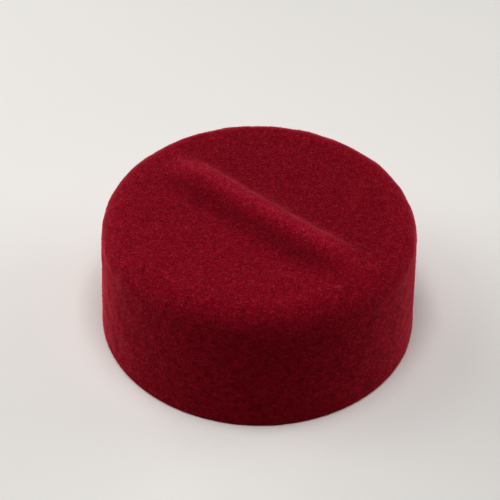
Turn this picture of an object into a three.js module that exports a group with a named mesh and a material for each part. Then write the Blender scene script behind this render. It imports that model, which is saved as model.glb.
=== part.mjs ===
// Chechia: a low, brimless cap of fulled wool, knitted, felted and blocked in one seamless piece.
// Millimetres, +Z up. The rim stands on z = 0, the axis of the cap is Z, the front of the cap faces -Y,
// and the crease that folding leaves on the crown runs from front to back, along Y.
import * as THREE from 'three';

// Driving dimensions
const HEAD_CIRCUMFERENCE = 570; // inside the rim, an adult medium
const FELT_THICKNESS = 3;
const CAP_HEIGHT = 80.6; // from the rim to the flat of the crown
const SIDE_LEAN = THREE.MathUtils.degToRad(1.45); // how far the side draws in towards the crown
const CROWN_EDGE_RADIUS = 14; // the outer round between the side and the crown
const RIM_EDGE_RADIUS = 1; // the softened corners of the cut rim
const FELT_COLOUR = 0x8a1220;

// The crease is a soft welt that stands up across the crown, with a broad side to -X and a steeper one to +X.
// Its crest bows to +X by the square of the distance from its middle, so far at a given distance.
// It has its full height round that middle, just in front of the axis, and dies away near the crown's edge.
const CREASE = { height: 6.5, crestX: -1.9, bow: 1.7, bowAt: 60, middleY: -2, fullWithin: 42, goneAt: 82 };

// From the crest down, a side of the crease is a round shoulder, a straight slope and a hollow foot.
const CREASE_SIDES = {
  west: { steepestDegrees: 25.5, shoulder: 10.5, foot: 11 },
  east: { steepestDegrees: 33, shoulder: 10, foot: 9 },
};

// Facets: the sides of the cap, and the steps along each stretch of its wall
const SIDES = 96;
const STEPS = { crown: 18, crownEdge: 7, side: 3, rimEdge: 2, foot: 1 };

// Worked out from the driving dimensions
const RIM_RADIUS = HEAD_CIRCUMFERENCE / (2 * Math.PI) + FELT_THICKNESS / Math.cos(SIDE_LEAN);
const EDGE_CENTRE = sidePoint(CROWN_EDGE_RADIUS, CAP_HEIGHT - CROWN_EDGE_RADIUS);
const RIM_OUTER_CENTRE = sidePoint(RIM_EDGE_RADIUS, RIM_EDGE_RADIUS);
const RIM_INNER_CENTRE = sidePoint(FELT_THICKNESS - RIM_EDGE_RADIUS, RIM_EDGE_RADIUS);

// The point of the wall's section at a height, so deep inside the outer face of the side.
function sidePoint(depth, height) {
  const radius = RIM_RADIUS - depth / Math.cos(SIDE_LEAN) - height * Math.tan(SIDE_LEAN);
  return new THREE.Vector2(radius, height);
}

// An arc of the section about a centre, between two bearings in radians from straight outwards.
function arc(centre, radius, from, to) {
  return new THREE.EllipseCurve(centre.x, centre.y, radius, radius, from, to, to < from);
}

// The closed section of the wall: down the inner face from the axis, under the rim, and up the outer face.
// Each row is a round stretch with its steps, and the straight that leads to it with its own.
function wallSection() {
  const down = -Math.PI / 2;
  const up = Math.PI / 2;
  const outwards = SIDE_LEAN;
  const inwards = SIDE_LEAN - Math.PI;
  const innerEdgeRadius = CROWN_EDGE_RADIUS - FELT_THICKNESS;
  const { crown, crownEdge, side, rimEdge, foot } = STEPS;
  const rounds = [
    { leadIn: crown, steps: crownEdge, curve: arc(EDGE_CENTRE, innerEdgeRadius, up, outwards) },
    { leadIn: side, steps: rimEdge, curve: arc(RIM_INNER_CENTRE, RIM_EDGE_RADIUS, inwards, down) },
    { leadIn: foot, steps: rimEdge, curve: arc(RIM_OUTER_CENTRE, RIM_EDGE_RADIUS, down, outwards) },
    { leadIn: side, steps: crownEdge, curve: arc(EDGE_CENTRE, CROWN_EDGE_RADIUS, outwards, up) },
  ];
  const innerPole = new THREE.Vector2(0, CAP_HEIGHT - FELT_THICKNESS);
  const outerPole = new THREE.Vector2(0, CAP_HEIGHT);
  const section = [innerPole];
  const straightTo = (end, steps) => {
    const straight = new THREE.LineCurve(section.at(-1), end);
    section.push(...straight.getPoints(steps).slice(1));
  };
  for (const { leadIn, steps, curve } of rounds) {
    const [start, ...rest] = curve.getPoints(steps);
    straightTo(start, leadIn);
    section.push(...rest);
  }
  straightTo(outerPole, crown);
  return section;
}

// The height of the crease over the flat of the crown, so far to one side of its crest.
// The slope grows evenly over the shoulder, holds, and dies evenly over the foot.
function creaseRise(away, { steepestDegrees, shoulder, foot }) {
  const slope = Math.tan(THREE.MathUtils.degToRad(steepestDegrees));
  const reach = CREASE.height / slope + (shoulder + foot) / 2;
  const toFlat = Math.max(reach - away, 0);
  if (away < shoulder) return CREASE.height - (slope * away ** 2) / (2 * shoulder);
  if (toFlat < foot) return (slope * toFlat ** 2) / (2 * foot);
  return CREASE.height - slope * (away - shoulder / 2);
}

// How far the crease lifts the felt over a point of the crown.
function creaseLift(x, y) {
  const along = y - CREASE.middleY;
  const fromCrest = x - CREASE.crestX - CREASE.bow * (along / CREASE.bowAt) ** 2;
  const side = fromCrest < 0 ? CREASE_SIDES.west : CREASE_SIDES.east;
  const fromMiddle = Math.hypot(x, along);
  const fade = 1 - THREE.MathUtils.smoothstep(fromMiddle, CREASE.fullWithin, CREASE.goneAt);
  return creaseRise(Math.abs(fromCrest), side) * fade;
}

// The cap: the section turned about Z, with both faces of the crown lifted along the crease.
function feltCap() {
  const geometry = new THREE.LatheGeometry(wallSection(), SIDES).rotateX(Math.PI / 2);
  const position = geometry.getAttribute('position');
  for (let i = 0; i < position.count; i += 1) {
    if (position.getZ(i) < EDGE_CENTRE.y) continue;
    position.setZ(i, position.getZ(i) + creaseLift(position.getX(i), position.getY(i)));
  }
  geometry.computeVertexNormals();
  const felt = new THREE.MeshStandardMaterial({ color: FELT_COLOUR, roughness: 0.95, metalness: 0 });
  const cap = new THREE.Mesh(geometry, felt);
  cap.name = 'felt_cap';
  return cap;
}

const chechia = new THREE.Group();
chechia.name = 'chechia';
chechia.add(feltCap());

export default chechia;
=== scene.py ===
"""Looks of a chechia: a low, round, brimless cap of dark red wool felt with a raised crease across its crown.

The cap is one seamless piece of fulled wool: a wall of felt, and a nap of loose strands brushed up from it.
Lengths are in metres, +Z is up, the rim stands on z = 0 and the front of the cap faces -Y.
"""

import logging
import math
from dataclasses import dataclass, replace
from enum import Enum
from functools import cache
from typing import Any, Mapping, Sequence

import bpy
import numpy as np
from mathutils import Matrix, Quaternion, Vector


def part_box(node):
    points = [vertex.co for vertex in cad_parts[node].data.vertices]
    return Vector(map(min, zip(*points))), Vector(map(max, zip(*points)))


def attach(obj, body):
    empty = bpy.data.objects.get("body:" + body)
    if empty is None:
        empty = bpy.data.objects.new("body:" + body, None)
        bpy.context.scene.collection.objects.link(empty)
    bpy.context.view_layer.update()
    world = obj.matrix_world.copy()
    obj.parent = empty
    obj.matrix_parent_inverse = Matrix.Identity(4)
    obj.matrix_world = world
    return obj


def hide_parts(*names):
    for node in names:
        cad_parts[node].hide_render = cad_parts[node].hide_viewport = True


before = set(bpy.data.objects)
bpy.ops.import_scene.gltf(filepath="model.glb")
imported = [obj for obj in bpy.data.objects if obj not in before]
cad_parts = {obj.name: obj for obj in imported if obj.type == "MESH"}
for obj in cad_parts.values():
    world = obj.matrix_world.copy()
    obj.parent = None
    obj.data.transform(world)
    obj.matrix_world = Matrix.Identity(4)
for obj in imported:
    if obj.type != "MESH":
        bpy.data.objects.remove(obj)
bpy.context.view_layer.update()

Array = np.ndarray

MM = 0.001
TURN = 2 * math.pi
BODY = "root"
CAP_NODE = "felt_cap"
BAKE_MAP = "OFBake"
SHADE_ATTRIBUTE = "shade"
# the attribute below holds the welt's painted shade and painted highlight, as factors of the colour
PAINTED_SHADING_ATTRIBUTE = "painted_shading"
NAP_DEPTH = 0.3 * MM  # how deep the felt of the side lies under the outside of its nap

log = logging.getLogger("chechia")


def linear(hex_colour: str) -> tuple[float, float, float, float]:
    """Turns an sRGB hex colour into the linear colour that a shader takes.

    Args:
        hex_colour: six hex digits after a hash, such as "#7a0c18".

    Returns:
        Linear red, green and blue, and an alpha of one.
    """
    coded = np.array([int(hex_colour[i : i + 2], 16) / 255 for i in (1, 3, 5)])
    red, green, blue = np.where(coded <= 0.04045, coded / 12.92, ((coded + 0.055) / 1.055) ** 2.4)
    return float(red), float(green), float(blue), 1.0


def smoothstep(value: Array, low: float, high: float) -> Array:
    """Rises from 0 at low to 1 at high, level at both ends."""
    share = np.clip((value - low) / (high - low), 0.0, 1.0)
    return share * share * (3 - 2 * share)


def unit(vectors: Array) -> Array:
    """Scales each vector of an array to a length of one."""
    return vectors / np.linalg.norm(vectors, axis=-1, keepdims=True)


def spoke(angle: Array) -> Array:
    """Finds the level direction out from the upright axis at each angle."""
    return np.stack([np.cos(angle), np.sin(angle), np.zeros_like(angle)], axis=-1)


def run_length(rows: Array) -> Array:
    """Adds up the distance along a line of points, from its first point to each of them."""
    return np.concatenate([[0], np.cumsum(np.linalg.norm(np.diff(rows, axis=0), axis=1))])


def left_of(heading: Array) -> Array:
    """Turns each heading of a section, by radius and height, a quarter turn to its left."""
    return np.column_stack([-heading[:, 1], heading[:, 0]])


def add_node(
    tree: bpy.types.NodeTree,
    kind: str,
    inputs: Mapping[Any, Any] | None = None,
    **settings: Any,
) -> bpy.types.Node:
    """Adds a node to a material's tree.

    Args:
        tree: the material's node tree.
        kind: the node's type name.
        inputs: for each input by name or index, a value to set or the socket to link from.
        settings: the node's own properties.

    Returns:
        The new node.
    """
    node = tree.nodes.new(kind)
    for name, value in settings.items():
        setattr(node, name, value)
    for name, value in (inputs or {}).items():
        if isinstance(value, bpy.types.NodeSocket):
            tree.links.new(value, node.inputs[name])
        else:
            node.inputs[name].default_value = value
    return node


def set_stops(ramp: bpy.types.Node, stops: Sequence[tuple[float, str]]) -> None:
    """Sets the colours of a colour ramp.

    Args:
        ramp: the ramp's node.
        stops: the place of each colour along the ramp, and its sRGB hex value.
    """
    elements = ramp.color_ramp.elements
    for place, _ in stops[len(elements) :]:
        elements.new(place)
    for element, (place, colour) in zip(elements, stops):
        element.position = place
        element.color = linear(colour)


def new_material(name: str) -> tuple[bpy.types.Material, bpy.types.NodeTree]:
    """Makes an empty node material.

    Args:
        name: the material's name.

    Returns:
        The material and its node tree.
    """
    material = bpy.data.materials.new(name)
    material.use_nodes = True
    material.node_tree.nodes.clear()
    return material, material.node_tree


def new_piece(
    name: str,
    points: Array,
    faces: Sequence[Array],
    places: Sequence[Array],
) -> bpy.types.Object:
    """Puts whole arrays of points and faces into a smooth mesh at the origin.

    Args:
        name: the piece's name.
        points: the vertices, one row each.
        faces: the corner indices, one array for each number of corners.
        places: for each of those arrays, the place of every corner in the piece's flat map.

    Returns:
        The piece.
    """
    corners = np.concatenate([block.ravel() for block in faces])
    counts = np.concatenate([np.full(len(block), block.shape[1]) for block in faces])
    mesh = bpy.data.meshes.new(name)
    mesh.vertices.add(len(points))
    mesh.vertices.foreach_set("co", points.astype(np.float32).ravel())
    mesh.loops.add(len(corners))
    mesh.loops.foreach_set("vertex_index", corners.astype(np.int32))
    mesh.polygons.add(len(counts))
    mesh.polygons.foreach_set("loop_start", (np.cumsum(counts) - counts).astype(np.int32))
    mesh.polygons.foreach_set("use_smooth", np.ones(len(counts), dtype=bool))
    flat_map = mesh.uv_layers.new(name=BAKE_MAP)
    flat_map.uv.foreach_set("vector", np.concatenate([p.ravel() for p in places]).astype(np.float32))
    mesh.update(calc_edges=True)
    mesh.validate()
    piece = bpy.data.objects.new(name, mesh)
    bpy.context.scene.collection.objects.link(piece)
    return piece


def spun_faces(rings: int, sides: int) -> tuple[Array, Array, Array]:
    """Lists the faces of a surface that runs from a pole, over closed rings of points, to a second pole.

    The first pole is point 0, the points of each ring follow in turn, and the second pole comes last.

    Args:
        rings: how many rings there are.
        sides: how many points each ring has.

    Returns:
        The corner indices of the quads between the rings, of the fan of triangles at the first pole, and of
        the fan at the second one.
    """
    column = np.arange(sides)
    start = 1 + sides * np.arange(rings)[:, None]
    here, there = start + column, start + (column + 1) % sides
    quads = np.stack([here[:-1], here[1:], there[1:], there[:-1]], axis=-1).reshape(-1, 4)
    first_fan = np.stack([np.zeros_like(column), here[0], there[0]], axis=-1)
    last_fan = np.stack([np.full_like(column, 1 + rings * sides), there[-1], here[-1]], axis=-1)
    return quads, first_fan, last_fan


def corner_places(*corners: tuple[Array | float, Array | float]) -> Array:
    """Joins places in a flat map for the corners of faces.

    Args:
        corners: for each corner of a face, its two coordinates over all the faces, or one for them all.

    Returns:
        The coordinates, with the corners on the last axis but one.
    """
    return np.stack([np.stack(np.broadcast_arrays(*corner), axis=-1) for corner in corners], axis=-2)


def spun_places(shares: Array, sides: int) -> tuple[Array, Array, Array]:
    """Lays the faces of a surface with two poles out flat in a unit square.

    A corner's first coordinate is its share of the way round, and its second is its share of the way from
    pole to pole.

    Args:
        shares: that second share at the first pole, at each ring and at the last pole.
        sides: how many points each ring has.

    Returns:
        The places of the corners of the quads and of the two fans.
    """
    edges = np.arange(sides + 1) / sides
    left, right = edges[:-1], edges[1:]
    middle = (left + right) / 2
    near, far = shares[1:-2, None], shares[2:-1, None]
    quads = corner_places((left, near), (left, far), (right, far), (right, near)).reshape(-1, 4, 2)
    first_fan = corner_places((middle, shares[0]), (left, shares[1]), (right, shares[1]))
    last_fan = corner_places((middle, shares[-1]), (right, shares[-2]), (left, shares[-2]))
    return quads, first_fan, last_fan


def triangles(quads: Array, first_fan: Array, last_fan: Array) -> Array:
    """Halves the quads of a surface with two poles, and joins the halves with its fans."""
    return np.concatenate([first_fan, quads[:, [0, 1, 2]], quads[:, [0, 2, 3]], last_fan])


def with_painted_shading(tree: bpy.types.NodeTree, colour: bpy.types.NodeSocket) -> bpy.types.NodeSocket:
    """Multiplies a colour by the welt's painted shading: painted shade darkens it and painted highlight pales
    it.

    Args:
        tree: the material's node tree.
        colour: the socket of the colour before the painted shading.

    Returns:
        The socket of the colour with the painted shading.
    """
    # painted shade and painted highlight of the welt, stored at each point
    painted_shading = add_node(tree, "ShaderNodeAttribute", attribute_name=PAINTED_SHADING_ATTRIBUTE).outputs["Vector"]
    product = add_node(tree, "ShaderNodeVectorMath", {0: colour, 1: painted_shading}, operation="MULTIPLY")
    return product.outputs["Vector"]


@dataclass(frozen=True)
class Bloom:
    """The paler veil that loose fibre ends give to wool where its surface turns away."""

    colour: str = "#ff6070"
    weight: float = 1.0
    roughness: float = 0.25

    def inputs(self) -> dict[str, Any]:
        """Lists the shader's sheen inputs with their values."""
        tint = linear(self.colour)
        return {"Sheen Weight": self.weight, "Sheen Roughness": self.roughness, "Sheen Tint": tint}


@dataclass(frozen=True)
class FulledFelt:
    """Wool knitted, shrunk by fulling and brushed: matted fibres with no gloss, darker in the gaps.

    The eye gets a dull deep red that blooms paler where the surface turns away, because loose fibre ends
    catch the light there.
    """

    gap_colour: str = "#4f0209"
    felt_colour: str = "#730617"
    fibre_colour: str = "#8f0b1f"
    colour_places: tuple[float, float, float] = (0.3, 0.5, 0.7)
    fibre_spacing: float = 0.8 * MM  # drawn coarser than real wool so that it shows
    fibre_depth: float = 0.12 * MM
    fibre_harshness: float = 0.6
    fibre_curl: float = 0.8
    tuft_spacing: float = 3.5 * MM
    tuft_depth: float = 0.15 * MM
    tuft_harshness: float = 0.55
    tuft_share: float = 0.35  # of the mottle, with the rest from the fibres
    finer_layers: float = 2.0
    roughness: float = 0.95
    gloss: float = 0.02
    bloom: Bloom = Bloom()

    def material(self) -> bpy.types.Material:
        """Builds the felt.

        Noise at the spacing of the fibres draws their grain, and soft noise at the spacing of the tufts
        mottles the colour. Both raise the surface too.

        Returns:
            The material.
        """
        material, tree = new_material("wool felt, fulled and brushed")
        place = add_node(tree, "ShaderNodeTexCoord").outputs["Object"]
        fibres = add_node(
            tree,
            "ShaderNodeTexNoise",
            {
                "Vector": place,
                "Scale": 1 / self.fibre_spacing,
                "Detail": self.finer_layers,
                "Roughness": self.fibre_harshness,
                "Distortion": self.fibre_curl,
            },
        ).outputs["Fac"]
        tufts = add_node(
            tree,
            "ShaderNodeTexNoise",
            {
                "Vector": place,
                "Scale": 1 / self.tuft_spacing,
                "Detail": self.finer_layers,
                "Roughness": self.tuft_harshness,
            },
        ).outputs["Fac"]
        mottle = add_node(tree, "ShaderNodeMix", {"Factor": self.tuft_share, "A": fibres, "B": tufts})
        ramp = add_node(tree, "ShaderNodeValToRGB", {"Fac": mottle.outputs["Result"]})
        colours = (self.gap_colour, self.felt_colour, self.fibre_colour)
        set_stops(ramp, tuple(zip(self.colour_places, colours)))
        tuft_relief = add_node(
            tree,
            "ShaderNodeBump",
            {"Height": tufts, "Distance": self.tuft_depth, "Strength": 1.0},
        ).outputs["Normal"]
        fibre_relief = add_node(
            tree,
            "ShaderNodeBump",
            {"Height": fibres, "Distance": self.fibre_depth, "Strength": 1.0, "Normal": tuft_relief},
        ).outputs["Normal"]
        shader = add_node(
            tree,
            "ShaderNodeBsdfPrincipled",
            {
                # the base colour takes the welt's painted shade and painted highlight
                "Base Color": with_painted_shading(tree, ramp.outputs["Color"]),
                "Normal": fibre_relief,
                "Roughness": self.roughness,
                "Specular IOR Level": self.gloss,
                **self.bloom.inputs(),
            },
        )
        add_node(tree, "ShaderNodeOutputMaterial", {"Surface": shader.outputs["BSDF"]})
        return material


@dataclass(frozen=True)
class BrushedWool:
    """Loose wool strands brushed up from the felt: fine, dull and slightly clear, with paler tips.

    The eye gets a soft red fuzz with single lighter hairs in it.
    """

    name: str = "wool strands, brushed nap"
    root_colour: str = "#3e0105"
    strand_colour: str = "#780618"
    tip_colour: str = "#b6192f"
    roughness: float = 0.9
    gloss: float = 0.05
    bloom: Bloom = Bloom()

    @cache
    def material(self) -> bpy.types.Material:
        """Builds the wool, coloured by each strand's own shade, once for all the patches of it.

        Returns:
            The material.
        """
        material, tree = new_material(self.name)
        shade = add_node(tree, "ShaderNodeAttribute", attribute_name=SHADE_ATTRIBUTE).outputs["Fac"]
        ramp = add_node(tree, "ShaderNodeValToRGB", {"Fac": shade})
        set_stops(ramp, ((0.0, self.root_colour), (0.5, self.strand_colour), (1.0, self.tip_colour)))
        shader = add_node(
            tree,
            "ShaderNodeBsdfPrincipled",
            {
                # the base colour takes the welt's painted shade and painted highlight
                "Base Color": with_painted_shading(tree, ramp.outputs["Color"]),
                "Roughness": self.roughness,
                "Specular IOR Level": self.gloss,
                **self.bloom.inputs(),
            },
        )
        add_node(tree, "ShaderNodeOutputMaterial", {"Surface": shader.outputs["BSDF"]})
        return material


@dataclass(frozen=True)
class PaperSweep:
    """Matt photographic paper, pale and slightly warm, which gives a plain ground with soft shadows."""

    colour: str = "#ebe8e4"
    roughness: float = 0.95
    gloss: float = 0.1

    def material(self) -> bpy.types.Material:
        """Builds the paper.

        Returns:
            The material.
        """
        material, tree = new_material("backdrop paper, matt")
        shader = add_node(
            tree,
            "ShaderNodeBsdfPrincipled",
            {
                "Base Color": linear(self.colour),
                "Roughness": self.roughness,
                "Specular IOR Level": self.gloss,
            },
        )
        add_node(tree, "ShaderNodeOutputMaterial", {"Surface": shader.outputs["BSDF"]})
        return material


@dataclass(frozen=True)
class FaceSteps:
    """The steps along each stretch of a face of the wall."""

    crown: int
    edge: int
    side: int


@dataclass(frozen=True)
class WallSection:
    """The section of the felt wall, as rows of radius and height.

    A face of the wall lies at a depth under the outer face. It runs from the middle of the crown along a
    flat, round the crown's edge on an arc, and down a straight side that leans out towards the rim.
    """

    rim_radius: float
    crown_height: float
    thickness: float = 3.0 * MM
    side_lean: float = math.radians(1.45)
    edge_radius: float = 14.0 * MM
    rim_round: float = 1.0 * MM
    rim_steps: int = 5

    @property
    def edge_centre(self) -> Array:
        """The middle of the arc between the crown and the side."""
        return self.side_point(self.edge_radius, self.crown_height - self.edge_radius)

    def side_point(self, depth: float, height: float) -> Array:
        """Finds the point of the section at a height, at a depth inside the outer face of the side."""
        radius = self.rim_radius - depth / math.cos(self.side_lean) - height * math.tan(self.side_lean)
        return np.array([radius, height])

    def face(self, depth: float, steps: FaceSteps) -> Array:
        """Lays points along one face of the wall: a line, an arc and a line, each of even steps.

        Args:
            depth: the face's depth under the outer face.
            steps: the steps along each stretch.

        Returns:
            The points, from the middle of the crown to the rim.
        """
        centre = self.edge_centre
        height = self.crown_height - depth
        bearing = np.linspace(math.pi / 2, self.side_lean, steps.edge + 1)
        arc = centre + (self.edge_radius - depth) * np.column_stack([np.cos(bearing), np.sin(bearing)])
        crown = np.linspace((0.0, height), (centre[0], height), steps.crown, endpoint=False)
        side = np.linspace(arc[-1], self.side_point(depth, self.rim_round), steps.side + 1)
        return np.concatenate([crown, arc, side[1:]])

    def rim(self) -> Array:
        """Lays points under the rim: an arc, a narrow flat and an arc.

        Returns:
            The points from the outer face to the inner one, without the two that the faces end on.
        """
        outer = self.side_point(self.rim_round, self.rim_round)
        inner = self.side_point(self.thickness - self.rim_round, self.rim_round)
        bearing = np.linspace(0.0, -math.pi / 2, self.rim_steps + 1)
        quarter = self.rim_round * np.column_stack([np.cos(bearing), np.sin(bearing)])
        mirrored = quarter[::-1] * (-1, 1)
        return np.concatenate([outer + quarter[1:], inner + mirrored[:-1]])


@dataclass(frozen=True)
class Flank:
    """One side of the welt: from its crest down, a round shoulder, a straight slope and a hollow foot."""

    steepest: float
    shoulder: float
    foot: float

    def rise(self, away: Array, height: float) -> Array:
        """Finds the height over the flat: a parabola, a line and a parabola.

        Args:
            away: the distances from the crest.
            height: the welt's height.

        Returns:
            The rise at each distance.
        """
        to_flat = height / self.steepest + (self.shoulder + self.foot) / 2 - away
        shoulder = height - self.steepest * away**2 / (2 * self.shoulder)
        straight = height - self.steepest * (away - self.shoulder / 2)
        hollow = self.steepest * np.maximum(to_flat, 0.0) ** 2 / (2 * self.foot)
        return np.select([away <= self.shoulder, to_flat >= self.foot], [shoulder, straight], hollow)


@dataclass(frozen=True)
class Band:
    """A band along the welt, by distances to the east of its crest: it grows, holds and ebbs away."""

    start: float
    full: float
    ebb: float
    end: float

    def share(self, east_of: Array) -> Array:
        """Finds how strong the band is at each distance."""
        return smoothstep(east_of, self.start, self.full) * (1 - smoothstep(east_of, self.ebb, self.end))


@dataclass(frozen=True)
class Crease:
    """The welt that folding leaves across the crown, along Y, with a broad west side and a steeper east side.

    Its crest bows to the east, by the square of the distance from its middle. Besides the lift, it gives
    painted shade and painted highlight for the nap's colour about the welt.
    """

    height: float = 6.5 * MM
    crest_x: float = -1.9 * MM
    bow: float = 1.7 * MM
    bow_at: float = 60.0 * MM
    west: Flank = Flank(steepest=math.tan(math.radians(25.5)), shoulder=10.5 * MM, foot=11.0 * MM)
    east: Flank = Flank(steepest=math.tan(math.radians(33)), shoulder=10.0 * MM, foot=9.0 * MM)
    middle_y: float = -2.0 * MM
    full_within: float = 42.0 * MM
    gone_at: float = 82.0 * MM
    # Painted shade: the west flank is darkened in colour in place of the shade that the light leaves there.
    west_painted_shade: float = 0.30
    west_painted_shade_band: Band = Band(start=-23.3 * MM, full=-13.2 * MM, ebb=-11.2 * MM, end=-3.2 * MM)
    # Painted highlight: the crest is paled and pinked in colour in place of the light that catches it.
    crest_painted_highlight: tuple[float, float, float] = (1.3, 1.6, 1.6)  # factors of red, green and blue
    crest_painted_highlight_band: Band = Band(start=-6.0 * MM, full=2.5 * MM, ebb=3.5 * MM, end=8.0 * MM)
    # Painted shade: the crown's flat east of the crest is darkened in colour in place of the dimmer light
    # there.
    east_painted_shade: float = 0.13
    east_painted_shade_from: tuple[float, float] = (6.0 * MM, 16.0 * MM)  # east of the crest: it starts, and is full
    east_painted_shade_reach: tuple[float, float] = (66.0 * MM, 86.0 * MM)  # from the axis: it ebbs, and ends

    def from_crest(self, x: Array, y: Array) -> Array:
        """Finds how far east of the crest each place lies."""
        return x - self.crest_x - self.bow * ((y - self.middle_y) / self.bow_at) ** 2

    def fade(self, x: Array, y: Array) -> Array:
        """Finds how much of the welt is left at each place, by the distance from its middle."""
        return 1 - smoothstep(np.hypot(x, y - self.middle_y), self.full_within, self.gone_at)

    def lift(self, x: Array, y: Array) -> Array:
        """Finds how far the welt lifts the felt.

        Args:
            x: the places across the welt.
            y: the places along it.

        Returns:
            The lift at each place.
        """
        east_of = self.from_crest(x, y)
        west, east = (flank.rise(np.abs(east_of), self.height) for flank in (self.west, self.east))
        return np.where(east_of < 0, west, east) * self.fade(x, y)

    def painted_shading(self, x: Array, y: Array) -> Array:
        """Finds the painted shading that the welt puts into the nap's colour.

        Painted shade darkens the west side, painted highlight pales and pinks it up to just past the crest,
        and painted shade darkens the flat to the east, all standing in for the light on the welt.

        Args:
            x: the places across the welt.
            y: the places along it.

        Returns:
            The factors of red, green and blue at each place, one where nothing is painted.
        """
        east_of = self.from_crest(x, y)
        fade = self.fade(x, y)
        west_shade_share = self.west_painted_shade_band.share(east_of) * fade
        crest_highlight_share = self.crest_painted_highlight_band.share(east_of) * fade
        east_shade_share = smoothstep(east_of, *self.east_painted_shade_from) * (1 - smoothstep(np.hypot(x, y), *self.east_painted_shade_reach))
        # Painted shade on the west flank and the east flat, and painted highlight along the crest.
        tone = 1 - self.west_painted_shade * west_shade_share - self.east_painted_shade * east_shade_share
        return tone[..., None] * (1 + crest_highlight_share[..., None] * (np.array(self.crest_painted_highlight) - 1))


@dataclass(frozen=True)
class Lumps:
    """The slight unevenness of hand-made felt: the sum of plane waves in seeded random directions."""

    height: float = 0.12 * MM
    wavelength: tuple[float, float] = (8 * MM, 30 * MM)
    waves: int = 40
    seed: int = 11

    def rise(self, points: Array) -> Array:
        """Finds how far the felt stands proud at each point.

        Args:
            points: places, with their coordinates on the last axis.

        Returns:
            The rise at each place.
        """
        rng = np.random.default_rng(self.seed)
        direction = unit(rng.normal(size=(3, self.waves)).T).T
        number = TURN / rng.uniform(*self.wavelength, self.waves)
        phase = rng.uniform(0, TURN, self.waves)
        waves = np.cos(points @ (direction * number) + phase)
        return self.height * math.sqrt(2 / self.waves) * waves.sum(axis=-1)


class Face(Enum):
    """The two faces of the wall."""

    OUTSIDE = "outside"
    INSIDE = "inside"


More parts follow.
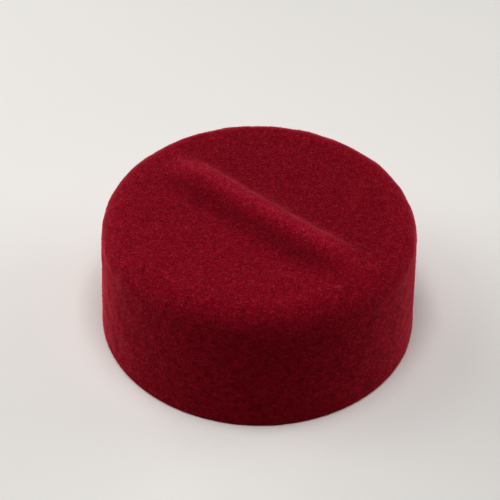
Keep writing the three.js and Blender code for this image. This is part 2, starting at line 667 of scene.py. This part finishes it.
@dataclass
class FeltCap:
    """The wall of the cap: its section carried round the upright axis, with the welt and the felt's lumps."""

    section: WallSection
    crease: Crease
    lumps: Lumps = Lumps()
    felt: FulledFelt = FulledFelt()
    sides: int = 320
    outer_steps: FaceSteps = FaceSteps(crown=52, edge=16, side=20)
    inner_steps: FaceSteps = FaceSteps(crown=20, edge=6, side=8)
    guide_steps: FaceSteps = FaceSteps(crown=400, edge=200, side=400)
    lumps_from_height: float = 1.0 * MM
    lumps_full_height: float = 12.0 * MM
    slope_step: float = 0.2 * MM  # how far to each side of a place its slope is measured

    def raised(self, points: Array, normals: Array) -> Array:
        """Adds the lumps, along the normals, and the welt, straight up, to points of the plain form.

        Args:
            points: places on the plain turned form.
            normals: the normals there.

        Returns:
            The places on the real form.
        """
        clear_of_rim = smoothstep(points[..., 2], self.lumps_from_height, self.lumps_full_height)
        raised = points + (self.lumps.rise(points) * clear_of_rim)[..., None] * normals
        on_crown = points[..., 2] >= self.section.edge_centre[1]
        raised[..., 2] += on_crown * self.crease.lift(points[..., 0], points[..., 1])
        return raised

    def set_painted_shading(self, piece: bpy.types.Object, points: Array) -> None:
        """Stores the welt's painted shade and painted highlight at a piece's points: only on the crown.

        Args:
            piece: the piece.
            points: the places of its vertices.
        """
        x, y, z = np.moveaxis(points, -1, 0)
        on_crown = (z >= self.section.edge_centre[1])[..., None]
        painted_shading = np.where(on_crown, self.crease.painted_shading(x, y), 1.0)
        attribute = piece.data.attributes.new(PAINTED_SHADING_ATTRIBUTE, "FLOAT_VECTOR", "POINT")
        attribute.data.foreach_set("vector", painted_shading.astype(np.float32).ravel())

    def turned(self, rows: Array, normals: Array, angle: Array) -> Array:
        """Carries points of the section round the axis, then raises them to the real form.

        Args:
            rows: radius and height of each point.
            normals: the section's normals at the points.
            angle: the angle of each point about the axis.

        Returns:
            The places, of the shape that rows and angle have together.
        """
        level = spoke(angle)
        up = np.array([0.0, 0.0, 1.0])
        plain = rows[..., :1] * level + rows[..., 1:] * up
        outwards = normals[..., :1] * level + normals[..., 1:] * up
        return self.raised(plain, outwards)

    def build(self) -> bpy.types.Object:
        """Builds the wall as one closed mesh and dresses it in felt.

        The grid has a ring for each point of the section and a column for each side. The two middles of the
        crown are single points, each with a fan of triangles.

        Returns:
            The piece.
        """
        outer = self.section.face(0.0, self.outer_steps)
        inner = self.section.face(self.section.thickness, self.inner_steps)
        rows = np.concatenate([outer, self.section.rim(), inner[::-1]])
        normals = left_of(unit(np.gradient(rows, axis=0)))
        angle = np.linspace(0, TURN, self.sides, endpoint=False)
        all_angles = np.broadcast_to(angle, (len(rows), self.sides))
        grid = self.turned(rows[:, None, :], normals[:, None, :], all_angles)
        points = np.concatenate([grid[:1, 0], grid[1:-1].reshape(-1, 3), grid[-1:, 0]])
        length = run_length(rows)
        faces = spun_faces(len(rows) - 2, self.sides)
        wall = new_piece("felt_wall", points, faces, spun_places(length / length[-1], self.sides))
        # the wall's colour takes the welt's painted shade and painted highlight
        self.set_painted_shading(wall, points)
        wall.data.materials.append(self.felt.material())
        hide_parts(CAP_NODE)
        return wall

    def guide(self, face: Face) -> tuple[Array, Array, Array]:
        """Lays a fine guide along one face, to place strands by.

        Args:
            face: the face of the wall.

        Returns:
            The distance along the face from the middle of the crown, the points of the section there, and its
            normals out of the felt.
        """
        depth = 0.0 if face is Face.OUTSIDE else self.section.thickness
        rows = self.section.face(depth, self.guide_steps)
        along = run_length(rows)
        normals = left_of(unit(np.gradient(rows, along, axis=0)))
        return along, rows, normals if face is Face.OUTSIDE else -normals

    def scatter(
        self,
        face: Face,
        reach: tuple[float, float],
        count: int,
        rng: np.random.Generator,
    ) -> tuple[Array, Array]:
        """Draws places on a face, evenly by area.

        Args:
            face: the face of the wall.
            reach: the shares of the face's length, from the middle of the crown, that the places lie between.
            count: how many places.
            rng: the source of the draws.

        Returns:
            Each place's distance along the face and its angle.
        """
        along, rows, _ = self.guide(face)
        area = np.concatenate([[0], np.cumsum(np.diff(along) * (rows[1:, 0] + rows[:-1, 0]) / 2)])
        ends = np.interp(np.array(reach) * along[-1], along, area)
        return np.interp(rng.uniform(*ends, count), area, along), rng.uniform(0, TURN, count)

    def strand_points(
        self,
        face: Face,
        along: Array,
        angle: Array,
        out: Array,
        across: Array,
    ) -> tuple[Array, Array]:
        """Walks over a face from a place on it, as on the cone that touches the face there.

        Unrolled flat, the place lies at a slant distance from the cone's tip, radius / slope, and the step is
        taken in that plane and rolled up again.

        Args:
            face: the face of the wall.
            along: the distance of each starting place along the face.
            angle: its angle.
            out: the steps away from the crown's middle.
            across: the steps round the axis.

        Returns:
            The places reached, and the normals there.
        """
        guide, rows, normals = self.guide(face)
        slope = np.interp(along, guide, np.gradient(rows[:, 0], guide))
        slant = np.interp(along, guide, rows[:, 0]) / slope
        reached = np.clip(along + np.hypot(slant + out, across) - slant, guide[0], guide[-1])
        turned = angle + np.arctan2(across, slant + out) / slope
        columns = (*rows.T, *normals.T)

        def at(distance: Array, bearing: Array) -> Array:
            """Finds places of the real form by distance along the face and angle."""
            found = np.stack([np.interp(distance, guide, column) for column in columns], axis=-1)
            return self.turned(found[..., :2], found[..., 2:], bearing)

        farther = np.minimum(reached + self.slope_step, guide[-1])
        nearer = np.maximum(reached - self.slope_step, guide[0])
        turn = self.slope_step / np.maximum(np.interp(reached, guide, rows[:, 0]), self.slope_step)
        outwards = at(farther, turned) - at(nearer, turned)
        round_axis = at(reached, turned + turn) - at(reached, turned - turn)
        facing = np.cross(outwards, round_axis)
        return at(reached, turned), unit(facing if face is Face.OUTSIDE else -facing)


class Lie(Enum):
    """How the strands of a patch of nap lie."""

    EVERY_WAY = "every way"
    ROUND_THE_CAP = "brushed round the cap"


@dataclass
class NapPatch:
    """A patch of nap: many short curved strands of wool, each a three-sided tapered tube, as one mesh."""

    name: str
    seed: int
    reach: tuple[float, float] = (0.0, 1.0)  # shares of the face's length, from the middle of the crown
    face: Face = Face.OUTSIDE
    strands: int = 26000
    lie: Lie = Lie.EVERY_WAY
    length: tuple[float, float] = (1.0 * MM, 2.6 * MM)
    thickness: tuple[float, float] = (0.14 * MM, 0.23 * MM)  # drawn coarser than real wool so that it shows
    curl: float = math.radians(120)
    waver: float = math.radians(25)
    brushing_spread: float = math.radians(38)
    arch: tuple[float, float] = (0.12 * MM, 0.30 * MM)
    lift: tuple[float, float] = (-0.1 * MM, 0.2 * MM)  # of the tip over the felt
    root_depth: float = 0.05 * MM
    roundness: float = 0.15  # how far the normals of a strand lean from those of the felt
    shade: tuple[float, float] = (0.61, 0.155)  # the mean over the strands and their spread
    tip_paler: float = 0.1
    clump: float = 0.04
    clumps: Lumps = Lumps(height=1.0, wavelength=(3 * MM, 9 * MM), seed=12)
    wool: BrushedWool = BrushedWool()
    path_points: int = 3
    tube_sides: int = 3
    map_margin: float = 0.08

    @property
    def shares(self) -> Array:
        """The share of a strand's length at each point of its path."""
        return np.linspace(0, 1, self.path_points)

    def paths(self, rng: np.random.Generator) -> tuple[Array, Array, Array]:
        """Draws each strand's path in the plane of the felt: even steps whose heading turns and wavers.

        Args:
            rng: the source of the draws.

        Returns:
            The steps away from the crown's middle, the steps round the axis, and the heights over the felt.
        """
        one_each = (self.strands, 1)
        length = rng.uniform(*self.length, one_each)
        if self.lie is Lie.EVERY_WAY:
            heading = rng.uniform(0, TURN, one_each)
        else:
            heading = rng.normal(math.pi / 2, self.brushing_spread, one_each)
        curl = rng.uniform(-self.curl, self.curl, one_each)
        waver = self.waver * np.sin(TURN * (self.shares + rng.uniform(0, 1, one_each)))
        bearing = heading + curl * (self.shares - 0.5) + waver
        step = length / (self.path_points - 1)
        out = np.cumsum(step * np.cos(bearing), axis=1)
        across = np.cumsum(step * np.sin(bearing), axis=1)
        out -= out.mean(axis=1, keepdims=True)
        across -= across.mean(axis=1, keepdims=True)
        arch = rng.uniform(*self.arch, one_each) * np.sin(math.pi * self.shares)
        lift = rng.uniform(*self.lift, one_each) * self.shares**2
        return out, across, arch + lift - self.root_depth

    def ring_spokes(self, places: Array, normals: Array) -> Array:
        """Finds the directions from a strand's path to the points of its rings, square to the path.

        The first point of each ring lies over the path, away from the felt.

        Args:
            places: the points of each strand's path.
            normals: the normals of the felt under them.

        Returns:
            The directions, for each strand, ring and point of a ring.
        """
        heading = unit(np.gradient(places, axis=1))
        sideways = unit(np.cross(heading, normals))
        upwards = np.cross(sideways, heading)
        corner = TURN * (np.arange(self.tube_sides) / self.tube_sides + 0.25)[:, None]
        spokes = np.cos(corner) * sideways[:, :, None] + np.sin(corner) * upwards[:, :, None]
        return spokes[:, 1:-1]

    def with_tips(self, path: Array, rings: Array) -> Array:
        """Joins the values at each strand's first tip, at the points of its rings and at its last tip."""
        return np.concatenate([path[:, :1], rings.reshape(self.strands, -1, 3), path[:, -1:]], axis=1)

    def build(self, cap: FeltCap) -> bpy.types.Object:
        """Builds the patch on the cap and dresses it in wool.

        Each strand has a tip, rings of three points about its path, and a tip. A ring's size falls from the
        strand's middle to its ends as the root of a sine, and no point goes under the rim's plane.

        Args:
            cap: the cap that the strands lie on.

        Returns:
            The piece.
        """
        rng = np.random.default_rng(self.seed)
        along, angle = cap.scatter(self.face, self.reach, self.strands, rng)
        out, across, height = self.paths(rng)
        places, normals = cap.strand_points(self.face, along[:, None], angle[:, None], out, across)
        places = places + height[..., None] * normals
        thickness = rng.uniform(*self.thickness, (self.strands, 1))
        tone = rng.normal(*self.shade, (self.strands, 1))
        radius = thickness / 2 * np.sqrt(np.sin(math.pi * self.shares[1:-1]))
        spokes = self.ring_spokes(places, normals)
        points = self.with_tips(places, places[:, 1:-1, None] + radius[..., None, None] * spokes)
        points[..., 2] = np.maximum(points[..., 2], 0.0)
        facing = self.with_tips(normals, unit(normals[:, 1:-1, None] + self.roundness * spokes))
        strand_faces = triangles(*spun_faces(self.path_points - 2, self.tube_sides))
        starts = np.arange(self.strands) * points.shape[1]
        faces = (starts[:, None, None] + strand_faces).reshape(-1, 3)
        nap = new_piece(self.name, points.reshape(-1, 3), (faces,), (self.map_places(),))
        self.set_shade(nap, tone + self.clump * self.clumps.rise(places.mean(axis=1))[:, None])
        # the strands' colour takes the welt's painted shade and painted highlight
        cap.set_painted_shading(nap, points)
        nap.data.normals_split_custom_set_from_vertices(facing.reshape(-1, 3))
        nap.data.materials.append(self.wool.material())
        return nap

    def set_shade(self, nap: bpy.types.Object, tone: Array) -> None:
        """Stores the shade at every point, which grows from a strand's root to its tip.

        Args:
            nap: the patch's piece.
            tone: the shade at the middle of each strand.
        """
        spread = np.concatenate([[0.0], np.repeat(self.shares[1:-1], self.tube_sides), [1.0]])
        shade = np.clip(tone + self.tip_paler * (spread - 0.5), 0, 1)
        attribute = nap.data.attributes.new(SHADE_ATTRIBUTE, "FLOAT", "POINT")
        attribute.data.foreach_set("value", shade.astype(np.float32).ravel())

    def map_places(self) -> Array:
        """Gives every strand a cell of its own in the piece's flat map, row by row, with its length across.

        Returns:
            The place of each corner of each strand.
        """
        spots = triangles(*spun_places(self.shares, self.tube_sides))[..., ::-1]
        cells = math.ceil(math.sqrt(self.strands))
        number = np.arange(self.strands)
        cell = np.stack([number % cells, number // cells], axis=-1)
        inset = self.map_margin + (1 - 2 * self.map_margin) * spots
        return (cell[:, None, None, :] + inset) / cells


def bearing_vector(azimuth: float, elevation: float) -> Vector:
    """Finds the direction from the cap to something round it.

    Args:
        azimuth: degrees about the axis, 0 in front of the cap and 90 on its +X side.
        elevation: degrees above the horizon.

    Returns:
        A vector of length one.
    """
    a, e = math.radians(azimuth), math.radians(elevation)
    return Vector((math.sin(a) * math.cos(e), -math.cos(a) * math.cos(e), math.sin(e)))


@dataclass(frozen=True)
class SoftBox:
    """A square soft light that faces the cap, at an azimuth in degrees to the right of the camera."""

    name: str
    azimuth: float
    elevation: float
    watts: float
    distance: float = 1.6
    side: float = 0.95

    def build(self, target: Vector, view_azimuth: float) -> bpy.types.Object:
        """Places the light.

        Args:
            target: the point that it faces.
            view_azimuth: the camera's azimuth.

        Returns:
            The light.
        """
        lamp = bpy.data.lights.new(self.name, "AREA")
        lamp.shape = "SQUARE"
        lamp.size = self.side
        lamp.energy = self.watts
        light = bpy.data.objects.new(self.name, lamp)
        back = bearing_vector(view_azimuth + self.azimuth, self.elevation)
        light.location = target + back * self.distance
        light.rotation_mode = "QUATERNION"
        light.rotation_quaternion = (-back).to_track_quat("-Z", "Y")
        bpy.context.scene.collection.objects.link(light)
        return light


@dataclass
class Studio:
    """The plain pale ground, the soft light and the camera, with angles in degrees."""

    middle: Vector
    view_azimuth: float = -49.7
    view_elevation: float = 41.26
    view_distance: float = 1196 * MM
    view_roll: float = 1.08
    lens_mm: float = 145.2
    sensor_mm: float = 36.0
    aim_left: float = 5.1 * MM
    aim_above: float = 8.97 * MM
    ground_radius: float = 12.0
    ground_rings: int = 24
    ground_sides: int = 96
    boxes: tuple[SoftBox, ...] = (
        SoftBox("overhead", azimuth=0, elevation=81, watts=5.6, distance=1.0, side=0.4),
        SoftBox("left_high", azimuth=270, elevation=47, watts=5.0),
        SoftBox("left_low", azimuth=258, elevation=8, watts=16.0),
        SoftBox("left_back", azimuth=222, elevation=8, watts=18.0),
        SoftBox("right_low", azimuth=102, elevation=8, watts=15.0),
        SoftBox("right_back", azimuth=122, elevation=8, watts=10.0),
    )

    def build_ground(self, paper: PaperSweep) -> bpy.types.Object:
        """Lays the ground: a flat disc whose rings widen with the square of their number.

        Args:
            paper: the ground's finish.

        Returns:
            The ground.
        """
        radius = self.ground_radius * (np.arange(1, self.ground_rings + 1) / self.ground_rings) ** 2
        angle = np.linspace(0, TURN, self.ground_sides, endpoint=False)
        rings = radius[:, None, None] * spoke(angle)
        points = np.concatenate([np.zeros((1, 3)), rings.reshape(-1, 3)])
        faces = spun_faces(self.ground_rings, self.ground_sides)[:2]
        places = [0.5 + points[block][..., :2] / (2 * self.ground_radius) for block in faces]
        ground = new_piece("ground", points, faces, places)
        ground.data.materials.append(paper.material())
        return ground

    def build_camera(self) -> bpy.types.Object:
        """Places the camera at the photograph's angle, aimed a little left of the cap's middle and above it.

        Returns:
            The camera.
        """
        back = bearing_vector(self.view_azimuth, self.view_elevation)
        roll = Quaternion((0, 0, 1), math.radians(self.view_roll))
        facing_middle = (-back).to_track_quat("-Z", "Y") @ roll
        right, up = facing_middle @ Vector((1, 0, 0)), facing_middle @ Vector((0, 1, 0))
        aim = self.middle - right * self.aim_left + up * self.aim_above
        data = bpy.data.cameras.new("camera")
        data.lens = self.lens_mm
        data.sensor_width = self.sensor_mm
        camera = bpy.data.objects.new("camera", data)
        camera.location = self.middle + back * self.view_distance
        camera.rotation_mode = "QUATERNION"
        camera.rotation_quaternion = (aim - camera.location).to_track_quat("-Z", "Y") @ roll
        bpy.context.scene.collection.objects.link(camera)
        bpy.context.scene.camera = camera
        return camera

    def light(self) -> None:
        """Lights the scene with the soft boxes alone, in a dark surround."""
        world = bpy.data.worlds.new("dark surround")
        world.use_nodes = True
        world.node_tree.nodes["Background"].inputs["Strength"].default_value = 0.0
        bpy.context.scene.world = world
        for box in self.boxes:
            box.build(self.middle, self.view_azimuth)
        bpy.context.scene.view_settings.view_transform = "Standard"


def nap_patches() -> list[NapPatch]:
    """Lists the patches of nap that cover the cap.

    Four patches of short nap cover the outside from the crown's middle to the rim, each overlapping the next.
    Longer hairs and a pale fuzz are strewn over them all, and the inside has a thinner nap.

    Returns:
        The patches, in the order that they are built.
    """
    brushed = Lie.ROUND_THE_CAP
    upper_side = NapPatch(
        "nap_side_upper", seed=22, reach=(0.65, 0.83), lie=brushed, shade=(0.60, 0.21), clump=0.18
    )
    return [
        NapPatch("nap_crown", seed=21, reach=(0.0, 0.47)),
        NapPatch("nap_edge", seed=25, reach=(0.45, 0.66), lie=brushed, clump=0.12),
        upper_side,
        replace(upper_side, name="nap_side_lower", seed=23, reach=(0.82, 1.0)),
        NapPatch(
            "nap_hairs",
            seed=26,
            strands=2000,
            length=(3.5 * MM, 7.0 * MM),
            thickness=(0.10 * MM, 0.16 * MM),
            arch=(0.2 * MM, 0.5 * MM),
            shade=(0.75, 0.15),
            path_points=6,
        ),
        NapPatch(
            "nap_fuzz",
            seed=27,
            strands=30000,
            length=(1.0 * MM, 2.2 * MM),
            thickness=(0.10 * MM, 0.15 * MM),
            lift=(0.3 * MM, 0.7 * MM),
            shade=(0.85, 0.12),
            wool=BrushedWool("wool strands, raised fuzz", tip_colour="#b53a49"),
        ),
        NapPatch("nap_inside", seed=24, face=Face.INSIDE, strands=7500),
    ]


def report(piece: bpy.types.Object) -> None:
    """Logs a piece's name and how many triangles it has."""
    piece.data.calc_loop_triangles()
    log.info("%s: %d triangles", piece.name, len(piece.data.loop_triangles))


def main() -> None:
    """Builds the cap, its nap and the studio, and logs how many triangles each piece has."""
    logging.basicConfig(level=logging.INFO, format="%(name)s: %(message)s")
    _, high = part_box(CAP_NODE)
    crease = Crease()
    section = WallSection(rim_radius=high.x - NAP_DEPTH, crown_height=high.z - crease.height)
    cap = FeltCap(section, crease)
    pieces = [cap.build()]
    pieces += [patch.build(cap) for patch in nap_patches()]
    for piece in pieces:
        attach(piece, BODY)
        report(piece)
    studio = Studio(middle=Vector((0, 0, section.crown_height / 2)))
    report(studio.build_ground(PaperSweep()))
    studio.build_camera()
    studio.light()


if __name__ == "__main__":
    main()
